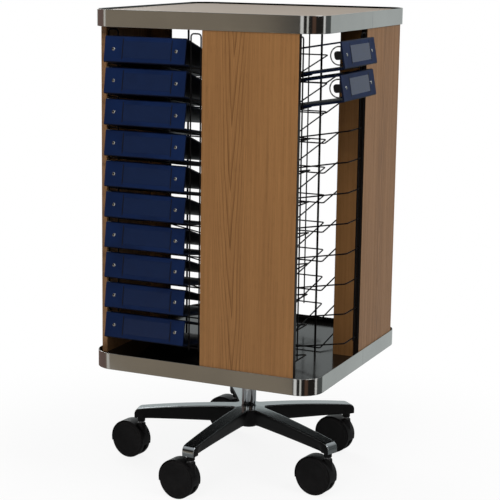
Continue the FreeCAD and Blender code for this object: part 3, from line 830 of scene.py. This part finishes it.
def arm_half_outline():
    """Half of one arm in plan, from the crotch to the middle of its end, with its spine points.

    The crotch is an arc about a point on the ray half-way to the next arm. It touches the arm's
    side, which makes its radius (c sin h - w) / (1 - sin h) for a crotch at distance c, a half
    angle h between two arms and a half width w.
    """
    between = np.pi / ARMS
    radius = (CROTCH * np.sin(between) - ARM_HALF[0]) / (1 - np.sin(between))
    centre = (CROTCH + radius) * np.array([np.cos(between), np.sin(between)])
    turn = np.linspace(np.pi + between, 1.5 * np.pi, 9)
    arc = centre + radius * np.column_stack([np.cos(turn), np.sin(turn)])
    roll = np.sin(np.radians([0, 20, 40, 58, 74, 90]))
    nose = ARM_END - ARM_NOSE + (ARM_NOSE - ARM_CORNER) * roll
    along = np.concatenate([np.linspace(centre[0], nose[0], 30)[1:-1], nose])
    taper = (along - centre[0]) / (ARM_END - centre[0])
    side = np.column_stack([along, ARM_HALF[0] + (ARM_HALF[1] - ARM_HALF[0]) * taper])
    turn = np.radians([60, 30, 0])
    corner = np.array([ARM_END, ARM_HALF[1]]) - ARM_CORNER
    end = corner + ARM_CORNER * np.column_stack([np.cos(turn), np.sin(turn)])
    face = np.column_stack([np.full(4, ARM_END), np.linspace(corner[1], 0, 5)[1:]])
    edge = np.concatenate([arc, side, end, face])
    spine = np.minimum(edge[:, 0], ARM_END - ARM_HALF[1])
    spine[:9] = np.linspace(0, centre[0], 9)
    return edge, spine


def star_base(finishes):
    """The cast star, one surface of rings that all follow its outline.

    Above the edge a ring lies part of the way from the outline to the arms' spines, at the
    height of arm_top less the edge's own rounding. Below it a ring lies inside the outline by
    the drop times the sides' lean, down to arm_under, and the last one is on the spines again.
    """
    shape = Shape()
    half, spine = arm_half_outline()
    arm = np.concatenate([half * (1, -1), half[-2:0:-1]])
    spines = np.tile(np.concatenate([spine, spine[-2:0:-1]]), ARMS)
    along, across = np.tile(arm, (ARMS, 1)).T
    angles = np.radians(np.repeat(ARM_ANGLE + 360 / ARMS * np.arange(ARMS), len(arm)))
    ahead = np.column_stack([np.cos(angles), np.sin(angles)])
    left = np.column_stack([-ahead[:, 1], ahead[:, 0]])
    edge = along[:, None] * ahead + across[:, None] * left
    to_spine = spines[:, None] * ahead - edge
    normal = outward(edge)
    reach = np.linalg.norm(to_spine, axis=1)
    at_end = ((normal * ahead).sum(axis=1) > 0.8) & (along > ARM_REACH)
    lean = ARM_LEAN * (1 - eased(along, *ARM_BLOCK))
    rim = arm_top(along) - ARM_EDGE
    rows, slots = [], []

    def ring(flat, height, slot):
        rows.append(np.column_stack([flat, height]))
        slots.append(np.where(at_end, 1, slot))

    ring(edge + to_spine, arm_under(spines), 0)
    foot = arm_under(along)
    for inset, rise in ((0.0020, 0.0), (0.0006, 0.0006), (0.0, 0.0020)):
        drop = rim - foot - rise
        pull = np.minimum(lean * drop + inset, reach * 0.96)
        ring(edge - normal * pull[:, None], foot + rise, 0)
    for part in (0.75, 0.5, 0.25, 0.0):
        drop = (rim - foot - 0.0020) * part
        ring(edge - normal * (lean * drop)[:, None], rim - drop, 0 if part > 0 else 1)
    for part in (0.0095, 0.0366, 0.077, 0.125, 0.19, 0.291, 0.44, 0.652, 0.879, 1.0):
        short = np.clip(ARM_EDGE - part * reach, 0, ARM_EDGE)
        x = along + (spines - along) * part
        round_off = ARM_EDGE - np.sqrt(ARM_EDGE**2 - short**2)
        ring(edge + to_spine * part, arm_top(x) - round_off, 1)
    shape.grid(stood(np.stack(rows)), round_v=True, slot=np.stack(slots))

    hub = [(0, ARM_FOOT), (0.0200, ARM_FOOT), (0.0235, 0.1258), (0.0255, 0.1280)]
    hub += [(0.0275, 0.1330), (0.030, 0.140), (0, 0.140)]
    lathe(shape, hub, (AXIS_X, AXIS_Y, 0), segments=72)
    seat = [(0.0207, 0.1840), (0.0222, 0.1840), (0.0222, 0.1853), (0.0218, 0.1857)]
    seat += [(0.0207, 0.1857)]
    lathe(shape, seat, (AXIS_X, AXIS_Y, 0), segments=72, slot=1, closed=True)
    boss = [(SOCKET_BORE, SOCKET_UNDER), (SOCKET - 0.001, SOCKET_UNDER)]
    boss += [(SOCKET, SOCKET_UNDER + 0.001), (SOCKET, 0.1262), (SOCKET_BORE, 0.1262)]
    for k in range(ARMS):
        lathe(shape, boss, (*stem_place(k), 0), segments=40, closed=True)
    shape.build("star_casting", "base", finishes, "star_base", smooth=32)


def stem_place(k):
    """Where the stem of caster k stands."""
    a = np.radians(ARM_ANGLE + k * 360 / ARMS)
    return AXIS_X + ARM_REACH * np.cos(a), AXIS_Y + ARM_REACH * np.sin(a)


def column_tube(finish):
    """The lift column: a turned tube with its outer edges bevelled."""
    shape = Shape()
    low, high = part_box("column")[0][2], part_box("column")[1][2]
    inner, outer = COLUMN
    profile = [(inner, low), (outer - 0.001, low), (outer, low + 0.001), (outer, high - 0.001)]
    profile += [(outer - 0.001, high), (inner, high)]
    lathe(shape, profile, (AXIS_X, AXIS_Y, 0), segments=96, closed=True)
    shape.build("column_tube", "base", [finish], "column", smooth=50)


def caster_neck(shape, x, y):
    """The hood's neck: ovals that grow and move back along the trail on their way down.

    An oval at height z is c(z) + a(z) cos t along the trail and b(z) sin t across it.
    """
    height = np.array([0.0600, 0.0700, 0.0800, 0.0900, 0.0990, 0.1040, 0.1066, NECK_TOP])
    back = np.array([-0.0110, -0.0105, -0.0080, -0.0050, -0.0015, -0.0004, 0.0, 0.0])
    long = np.array([0.0280, 0.0272, 0.0238, 0.0198, 0.0150, 0.0130, 0.0122, 0.0112])
    wide = np.array([0.0119, 0.0119, 0.0119, 0.0119, 0.0119, 0.0119, 0.0117, 0.0110])
    t = around(48)[None]
    ahead = -np.array([np.cos(TRAIL_ANGLE), np.sin(TRAIL_ANGLE)])
    left = np.array([-ahead[1], ahead[0]])
    u = back[:, None] + long[:, None] * np.cos(t)
    v = wide[:, None] * np.sin(t)
    flat = (x, y) + u[..., None] * ahead + v[..., None] * left
    level = np.broadcast_to(height[:, None, None], u.shape + (1,))
    shape.bar(np.concatenate([flat, level], axis=-1))


def caster_shell(shape, outer, centre, axle):
    """The hood's wall about the axle: inner radius + thickness x grow, thin at both its edges.

    grow rises from a fifth to one over the first HOOD_EDGE degrees from each edge.
    """
    wall = [(0.0, -outer), (0.0006, -outer), (0.0013, -outer + 0.0006)]
    wall += [(HOOD_WALL, -outer + 0.0016)]
    wall += [(r, -w) for r, w in wall[::-1]]
    angle = np.radians(np.linspace(*HOOD_ARC, 64))
    from_edge = np.minimum(angle - angle[0], angle[-1] - angle)
    grow = 0.2 + 0.8 * eased(from_edge, 0, np.radians(HOOD_EDGE))
    first = unit(np.cross(axle, (0, 0, 1)))
    out = np.cos(angle)[:, None] * first + np.sin(angle)[:, None] * np.cross(axle, first)
    thick, along = np.asarray(wall).T
    radius = HOOD - HOOD_WALL + thick[None] * grow[:, None]
    shape.bar(centre + radius[..., None] * out[:, None] + along[None, :, None] * axle)


def caster(k, hood_finish, wheel_finish, steel):
    """A hood with its neck, web and stem, and two wheels on their axle.

    The hood is a wall of revolution about the axle over the upper half, its edges rolled; the
    wheels are full profiles turned about the axle.
    """
    x, y = stem_place(k)
    ahead = np.array([np.cos(TRAIL_ANGLE), np.sin(TRAIL_ANGLE), 0])
    centre = (x, y, WHEEL) + TRAIL * ahead
    axle = np.array([ahead[1], -ahead[0], 0])
    inner = HOOD_WEB / 2 + WHEEL_GAP
    outer = inner + WHEEL_WIDTH
    hood = Shape()
    caster_shell(hood, outer, centre, axle)
    under, side = HOOD - HOOD_WALL - 0.0002, HOOD_WEB / 2
    web = [(under, -side), (under, side), (0.0042, side), (0.0042, -side)]
    lathe(hood, web, centre, axle, 56, arc=HOOD_ARC)
    caster_neck(hood, x, y)
    stem = [(0, NECK_TOP - 0.001), (0.0068, NECK_TOP - 0.001), (0.0068, SOCKET_UNDER - 0.0003)]
    stem += [(0.0058, SOCKET_UNDER - 0.0002), (0.0058, STEM_TOP - 0.0008)]
    stem += [(0.0050, STEM_TOP), (0, STEM_TOP)]
    lathe(hood, stem, (x, y, 0), segments=32, slot=1)
    body, replaced = f"caster_{k + 1}", f"caster_hood_{k + 1}"
    hood.build(f"hood_{k + 1}", body, [hood_finish, steel], replaced)

    wheels = Shape()
    profile = [(AXLE, inner), (0.0490, inner), (0.0525, inner + 0.0004), (WHEEL, inner + 0.0018)]
    profile += [(WHEEL, outer - 0.0034), (0.0536, outer - 0.0017), (0.0526, outer - 0.0006)]
    profile += [(0.0510, outer), (0.0455, outer), (0.0447, outer - 0.0004)]
    profile += [(0.0440, outer - 0.0010), (0.0428, outer - 0.0012), (0.0150, outer - 0.0009)]
    profile += [(0.0135, outer - 0.0012), (0, outer - 0.0012), (0, inner)]
    for s in (-1, 1):
        lathe(wheels, [(r, s * w) for r, w in profile], centre, axle, 80, closed=True)
    lathe(wheels, [(0, -inner), (AXLE, -inner), (AXLE, inner), (0, inner)], centre, axle, 24)
    body, replaced = f"wheels_{k + 1}", f"caster_wheels_{k + 1}"
    wheels.build(f"wheels_{k + 1}", body, [wheel_finish], replaced)


def steel_band(name, foot, node, finish):
    """A strip with rolled edges carried round the deck's rounded square.

    Two points near the edges of its outer wall keep the shading of the wall flat.
    """
    side, head, near = HALF_SIDE, foot + BAND_HEIGHT, 0.0012
    square = [(-side, -side), (side, -side), (side, side), (-side, side)]
    section = [(-BAND_WALL, foot), (0, foot), (0, foot + near), (0, head - near), (0, head)]
    section += [(-BAND_WALL, head)]
    section = round_profile(section, BAND_EDGE * np.array([1, 1, 0, 0, 1, 1]), 3)
    shape = Shape()
    carried(shape, round_profile(square, BAND_CORNER, 20), section[::-1])
    shape.build(name, "carousel", [finish], node, smooth=45)


# ------------ settings, operators and panel


def setting(name, description, default, **rest):
    return bpy.props.FloatProperty(name=name, description=description, default=default, **rest)


def tint(name, description, default):
    return bpy.props.FloatVectorProperty(
        name=name, description=description, default=default, size=3, min=0, max=1, subtype="COLOR"
    )


class CHARTRACK_PG_look(bpy.types.PropertyGroup):
    """Colours and grain of the rack's finishes."""

    grain_spacing: setting(
        "Grain spacing", "Distance between two growth rings of the oak", 0.0180, min=0,
        unit="LENGTH", subtype="DISTANCE",
    )
    oak_light: tint("Oak, light", "Oak between the grain lines", (0.330, 0.160, 0.056))
    oak_dark: tint("Oak, dark", "Oak in the grain lines", (0.140, 0.060, 0.018))
    band_steel: tint("Band steel", "Stainless bands round the decks", (0.52, 0.52, 0.50))
    laminate: tint("Laminate", "Top face of the upper deck", (0.330, 0.268, 0.212))
    black: tint("Black", "Wires, casters and the casting's sides", (0.0040, 0.0036, 0.0038))
    buffed: tint("Buffed metal", "Tops and ends of the base's arms", (0.44, 0.47, 0.48))
    chrome: tint("Chrome", "The column", (0.72, 0.74, 0.76))
    chart_blue: tint("Chart blue", "Moulded chart covers", (0.0036, 0.0145, 0.062))
    label_blue: tint("Label", "Card in the chart's label pocket", (0.010, 0.020, 0.060))


class CHARTRACK_PG_stage(bpy.types.PropertyGroup):
    """Floor, lights and camera."""

    lens: setting("Lens", "Focal length on a 36 mm sensor", 110.57, unit="CAMERA")
    azimuth: setting("Azimuth", "The camera's turn about Z", np.radians(24.94), subtype="ANGLE")
    pitch: setting("Pitch", "How far the camera looks down", np.radians(10.82), subtype="ANGLE")
    roll: setting("Roll", "The camera's turn about its view", 0.01155, subtype="ANGLE")
    eye: bpy.props.FloatVectorProperty(
        name="Eye", description="The camera's place from the column's foot", size=3,
        subtype="TRANSLATION", unit="LENGTH", default=(1.7184, -3.8637, 1.4844),
    )
    key_power: setting("Key light", "Power of the large light on the right", 43, unit="POWER")
    fill_power: setting("Fill light", "Power of the soft light in front", 48, unit="POWER")
    back_power: setting("Back light", "Power of the soft light behind", 44, unit="POWER")
    sky: setting("Sky", "Strength of the world's light", 0.36)


class CHARTRACK_OT_stage(bpy.types.Operator):
    """Lay the pale floor and set the lights, the world and the camera"""

    bl_idname = "chart_rack.stage"
    bl_label = "Stage"

    def execute(self, context):
        scene, stage = context.scene, context.scene.chart_rack_stage
        scene.view_settings.view_transform = "Standard"
        mesh = bpy.data.meshes.new("floor")
        sides = (-FLOOR_HALF, FLOOR_HALF)
        mesh.from_pydata([(x, y, 0) for x in sides for y in sides], [], [(0, 2, 3, 1)])
        mesh.materials.append(floor_finish())
        floor = bpy.data.objects.new("floor", mesh)
        scene.collection.objects.link(floor)
        make_world(scene, stage.sky)
        add_lamp("key", (2.4, -0.6, 3.0), (0, 0, 0.9), 1.5, stage.key_power)
        add_lamp("fill", (0.5, -2.5, 3.1), (0, 0, 0.9), 1.5, stage.fill_power)
        add_lamp("back", (-2.6, 2.2, 2.6), (0, 0, 0.8), 1.8, stage.back_power)
        add_camera(scene, stage)
        return {"FINISHED"}


FLOOR_HALF = 9
LENS_SHIFT = (0.048, -0.0286)
WHITE = (1.0, 1.0, 1.0)

# What metal and gloss see round the rack: boards and lamps of the studio that exist only as colour
# for mirror rays in the world and on the floor, painted reflections that light nothing. For each:
# the direction in degrees, the half width at which it is full and at which it has ended, the sine
# of the angle above level at which it ends, and its colour. A later one hides those before it.
ROOM = (0.20, 0.195, 0.185)
SURROUND = (
    (-75, 85, 92, 2.0, (0.024, 0.022, 0.020)),
    (-136, 23.8, 25.8, 0.05, (0.305, 0.258, 0.202)),
    (-147, 4, 7, 0.05, (0.75, 0.73, 0.70)),
    (-190, 31, 37, 2.0, (0.20, 0.14, 0.125)),
    (-100, 6.5, 8.0, 2.0, WHITE),
    (-73.5, 3.3, 4.5, 2.0, (0.90, 0.90, 0.88)),
    (10.5, 5.0, 6.5, 2.0, WHITE),
    (-43, 7, 10, 2.0, (0.12, 0.07, 0.05)),
    (37, 18, 20, 2.0, (0.11, 0.12, 0.12)),
    (100, 40, 44, 2.0, (0.56, 0.60, 0.60)),
)


def surround(f, x, y):
    """The colour of the studio in a level direction (x, y) from the rack.

    The cosine of the angle between that direction and a board's own says how much of it shows.
    """
    level = (x * x + y * y).root()
    color = ROOM
    for degrees, full, ended, top, tone in SURROUND:
        ahead, full, ended = np.cos(np.radians([degrees, full, ended])).tolist()
        side = float(np.sin(np.radians(degrees)))
        shown = ((x * ahead + y * side) / level).between(ended, full)
        if top < 1:
            shown = shown * (1.0 - f.z.between(top - 0.02, top + 0.02))
        color = f.mix(shown, color, tone)
    return color


def floor_finish():
    """Matt white floor that the camera sees as the background, with the rack's soft shadow."""
    f = Finish("floor_white", (0.90, 0.90, 0.90), roughness=0.9)
    camera, mirror, through = f.rays()
    away = (f.x * f.x + f.y * f.y).root()
    studio = surround(f, f.x - HALF_SIDE, f.y + HALF_SIDE)
    # To mirrors the floor glows instead of being lit, a painted reflection: flat grey near the
    # rack for the lit floor there, and the studio's painted boards further out.
    seen = f.mix(away.between(0.6, 1.2), (0.20, 0.205, 0.205), studio)
    color = f.mix(mirror, WHITE, seen)
    shine = f.node("ShaderNodeEmission", sockets={"Color": color, "Strength": 1.0})
    share = camera * (0.88 + 0.12 * away.between(0.5, 1.3)) + mirror + through
    sockets = {0: share, 1: f.shader.outputs[0], 2: shine.outputs[0]}
    blend = f.node("ShaderNodeMixShader", sockets=sockets)
    f.feed(f.tree.nodes["Material Output"].inputs["Surface"], blend.outputs[0])
    return f.material


def make_world(scene, strength):
    """Soft even light; white to the camera, and the studio's boards to metal and gloss."""
    world = bpy.data.worlds.new("studio")
    world.use_nodes = True
    f = Nodes(world.node_tree, "Generated")
    camera, mirror, through = f.rays()
    seen = f.mix(f.z.between(0.35, 0.80), surround(f, f.x, f.y), (0.62, 0.63, 0.64))
    light = f.mix(mirror, (strength, strength, strength), seen)
    color = f.mix(camera + through, light, WHITE)
    f.feed(world.node_tree.nodes["Background"].inputs["Color"], color)
    scene.world = world


def add_lamp(name, place, target, size, power):
    """A square area light that looks at its target, also where that is straight below it."""
    lamp = bpy.data.lights.new(name, "AREA")
    lamp.size, lamp.energy = size, power
    item = bpy.data.objects.new(name, lamp)
    back = unit(np.array(place, float) - target)
    right = unit(np.cross((0, 0, 1), back) + (1e-6, 0, 0))
    matrix = np.eye(4)
    matrix[:3] = np.column_stack([right, np.cross(back, right), back, place])
    item.matrix_world = Matrix(matrix.tolist())
    item.visible_glossy = name != "fill"
    bpy.context.scene.collection.objects.link(item)


def add_camera(scene, stage):
    """The camera from its azimuth, pitch and roll: right, up and back are worked out from them."""
    az, el, roll = stage.azimuth, stage.pitch, stage.roll
    ahead = np.array([-np.sin(az) * np.cos(el), np.cos(az) * np.cos(el), -np.sin(el)])
    right = np.array([np.cos(az), np.sin(az), 0.0])
    up = np.cross(right, ahead)
    matrix = np.eye(4)
    matrix[:3, 0] = np.cos(roll) * right + np.sin(roll) * up
    matrix[:3, 1] = -np.sin(roll) * right + np.cos(roll) * up
    matrix[:3, 2] = -ahead
    matrix[:3, 3] = np.array(stage.eye) + (AXIS_X, AXIS_Y, 0)
    data = bpy.data.cameras.new("camera")
    data.sensor_width, data.lens = 36, stage.lens
    data.shift_x, data.shift_y = LENS_SHIFT
    data.clip_end = 60
    camera = bpy.data.objects.new("camera", data)
    camera.matrix_world = Matrix(matrix.tolist())
    scene.collection.objects.link(camera)
    scene.camera = camera


def dress(node, finish):
    """Gives a CAD node's own mesh a finish in its slots."""
    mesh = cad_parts[node].data
    if not mesh.materials:
        mesh.materials.append(finish)
    for k in range(len(mesh.materials)):
        mesh.materials[k] = finish


# Each panel's oak: the grain's heart from the panel's low edge, how far its colour is drawn to
# grey as painted light for the cooler light on that face, and which of its two edge strips are
# black. FIN_HEART is from a return board's middle.
PANELS = {
    "a": (0.090, 0.0, (1, 1)),
    "b": (0.145, 0.12, (1, 0)),
    "c": (0.165, 0.0, (0, 1)),
    "d": (0.185, 0.12, (0, 1)),
}
FIN_HEART = 0.09
# FIN_PAINTED_SHADE is painted shade: the return boards' oak drawn darker for the shade they stand
# in.
FIN_PAINTED_SHADE = 0.8
SEED_STEP = 3.7
FIN_SEED = 11.3


class CHARTRACK_OT_boards(bpy.types.Operator):
    """Veneer the oak panels and return boards and laminate the decks"""

    bl_idname = "chart_rack.boards"
    bl_label = "Boards"

    def execute(self, context):
        look = context.scene.chart_rack_look
        for k, (letter, (heart, painted_light_cool, edges)) in enumerate(PANELS.items()):
            panel, fin, seed = f"panel_{letter}", f"fin_{letter}", SEED_STEP * k
            across, aside = "XY" if letter in "ac" else "YX"
            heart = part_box(panel)[0]["XY".index(across)] + heart
            oak = oak_finish(f"oak_{panel}", panel, across, heart, look, 1.0, painted_light_cool, seed, edges)
            dress(panel, oak)
            heart, seed = middle_of(fin)["XY".index(aside)] + FIN_HEART, FIN_SEED + seed
            dress(fin, oak_finish(f"oak_{fin}", fin, aside, heart, look, FIN_PAINTED_SHADE, 0.0, seed))
        dress("top_deck", laminate_finish(look))
        dress("bottom_deck", black_laminate_finish())
        return {"FINISHED"}


class CHARTRACK_OT_bands(bpy.types.Operator):
    """Wrap the steel bands round the decks"""

    bl_idname = "chart_rack.bands"
    bl_label = "Steel bands"

    def execute(self, context):
        finish = steel_band_finish(context.scene.chart_rack_look)
        steel_band("upper_band", TOP_BAND_FOOT, "top_band", finish)
        steel_band("lower_band", BAND_FOOT, "bottom_band", finish)
        return {"FINISHED"}


class CHARTRACK_OT_wires(bpy.types.Operator):
    """Bend the wire racks of the four bays"""

    bl_idname = "chart_rack.wires"
    bl_label = "Wire racks"

    def execute(self, context):
        finish = coated_wire_finish(context.scene.chart_rack_look)
        for letter in QUARTERS:
            wire_bay(letter, finish)
        return {"FINISHED"}


class CHARTRACK_OT_charts(bpy.types.Operator):
    """Fold the chart covers and fit their rings, rivets and label pockets"""

    bl_idname = "chart_rack.charts"
    bl_label = "Charts"

    def execute(self, context):
        look = context.scene.chart_rack_look
        # The cover finish is the spine's blue at 0.3: painted shade on the covers.
        covers = [chart_finish("chart_spine", look, 1.0), chart_finish("chart_cover", look, 0.3)]
        label, metal = label_finish(look), ring_finish()
        bead = moulded_black_finish("chart_bead", look, 0.40)
        for number in range(1, CHARTS + 1):
            chart_cover(number, covers)
            chart_label(number, label, bead)
            chart_rings(number, [metal, bead])
        return {"FINISHED"}


class CHARTRACK_OT_base(bpy.types.Operator):
    """Cast the star base, stand the column on it and finish the bearing"""

    bl_idname = "chart_rack.base"
    bl_label = "Base and column"

    def execute(self, context):
        look = context.scene.chart_rack_look
        star_base([gloss_black_finish(look), buffed_finish(look)])
        column_tube(chrome_finish(look))
        dress("bearing_base", zinc_finish())
        dress("bearing_cap", moulded_black_finish("bearing_paint", look, 0.45))
        return {"FINISHED"}


class CHARTRACK_OT_casters(bpy.types.Operator):
    """Fit the five hooded casters and their wheels"""

    bl_idname = "chart_rack.casters"
    bl_label = "Casters"

    def execute(self, context):
        look = context.scene.chart_rack_look
        hood = moulded_black_finish("hood_plastic", look, 0.32)
        wheel = moulded_black_finish("wheel_plastic", look, 0.42, 1.3)
        zinc = zinc_finish()
        for k in range(ARMS):
            caster(k, hood, wheel, zinc)
        return {"FINISHED"}


OPERATORS = (
    CHARTRACK_OT_stage,
    CHARTRACK_OT_boards,
    CHARTRACK_OT_bands,
    CHARTRACK_OT_wires,
    CHARTRACK_OT_charts,
    CHARTRACK_OT_base,
    CHARTRACK_OT_casters,
)


class CHARTRACK_PT_sidebar(bpy.types.Panel):
    """Lists the rack's pieces and their settings"""

    bl_idname = "CHARTRACK_PT_sidebar"
    bl_label = "Chart Rack"
    bl_space_type = "VIEW_3D"
    bl_region_type = "UI"
    bl_category = "Chart Rack"

    def draw(self, context):
        for group in (context.scene.chart_rack_look, context.scene.chart_rack_stage):
            for key in group.bl_rna.properties.keys():
                if key not in ("rna_type", "name"):
                    self.layout.prop(group, key)
        for operator in OPERATORS:
            self.layout.operator(operator.bl_idname)


CLASSES = (CHARTRACK_PG_look, CHARTRACK_PG_stage, *OPERATORS, CHARTRACK_PT_sidebar)


def register():
    for item in CLASSES:
        bpy.utils.register_class(item)
    bpy.types.Scene.chart_rack_look = bpy.props.PointerProperty(type=CHARTRACK_PG_look)
    bpy.types.Scene.chart_rack_stage = bpy.props.PointerProperty(type=CHARTRACK_PG_stage)


def unregister():
    del bpy.types.Scene.chart_rack_stage
    del bpy.types.Scene.chart_rack_look
    for item in reversed(CLASSES):
        bpy.utils.unregister_class(item)


def main():
    register()
    for operator in OPERATORS:
        category, name = operator.bl_idname.split(".")
        getattr(getattr(bpy.ops, category), name)()


if __name__ == "__main__":
    main()
